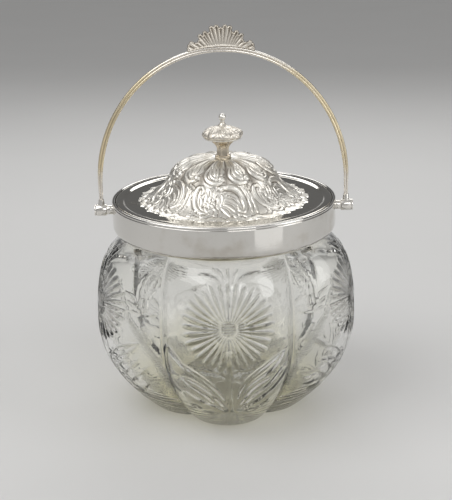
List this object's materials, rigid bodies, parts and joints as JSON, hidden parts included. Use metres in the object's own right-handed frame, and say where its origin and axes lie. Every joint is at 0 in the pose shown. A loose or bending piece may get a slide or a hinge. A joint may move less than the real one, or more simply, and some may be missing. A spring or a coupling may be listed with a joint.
{
  "type": "biscuit_jar",
  "caption": "Pressed glass biscuit jar with five rounded lobes, a silver-plated collar, a reeded swinging bail with a fan crest, and a lift-off domed lid with a turned finial.",
  "frame": {"origin": "The middle of the flat underside of the glass, on the jar's axis.", "axes": "Z is the jar's axis, up. X runs through the two bail pivots. The middle of the front lobe faces -Y."},
  "size_m": [0.15, 0.1463, 0.2237],
  "materials": {
    "glass_body": "clear pressed glass, faintly straw coloured",
    "plaster": "set plaster",
    "plate_polished": "polished silver plate",
    "plate_worn": "silver plate with light wear",
    "bail_metal": "plate worn warm over yellow metal",
    "cast_silver": "cast and plated, darker in the hollows",
    "lid_silver": "chased dome and polished brim",
    "steel": "plain"
  },
  "bodies": {
    "jar": {"glass_jar": "glass_body", "neck_cement": "plaster", "collar_band": "plate_polished", "collar_seat_ring": "plate_worn", "pivot_boss_left": "plate_worn", "pivot_boss_right": "plate_worn", "pivot_screw_left": "plate_worn", "pivot_screw_right": "plate_worn"},
    "handle": {"bail_handle": "bail_metal", "bail_crest": "cast_silver", "bail_knuckle_left": "plate_worn", "bail_knuckle_right": "plate_worn"},
    "lid": {"lid_cover": "lid_silver", "lid_flange": "plate_worn", "finial_foot_ring": "cast_silver", "finial_stem": "cast_silver", "finial_cap_plate": "cast_silver", "finial_cap": "cast_silver", "finial_ball": "cast_silver", "finial_stud": "steel", "finial_washer": "steel", "finial_nut": "steel"}
  },
  "joints": [
    {"name": "bail_swing", "type": "hinge", "parent": "jar", "child": "handle", "pos_m": [0, 0, 0.1191], "axis": [1, 0, 0], "range_deg": [-118, 118]},
    {"name": "lid_lift", "type": "slide", "parent": "jar", "child": "lid", "axis": [0, 0, 1], "range_m": [0, 0.028]}
  ]
}
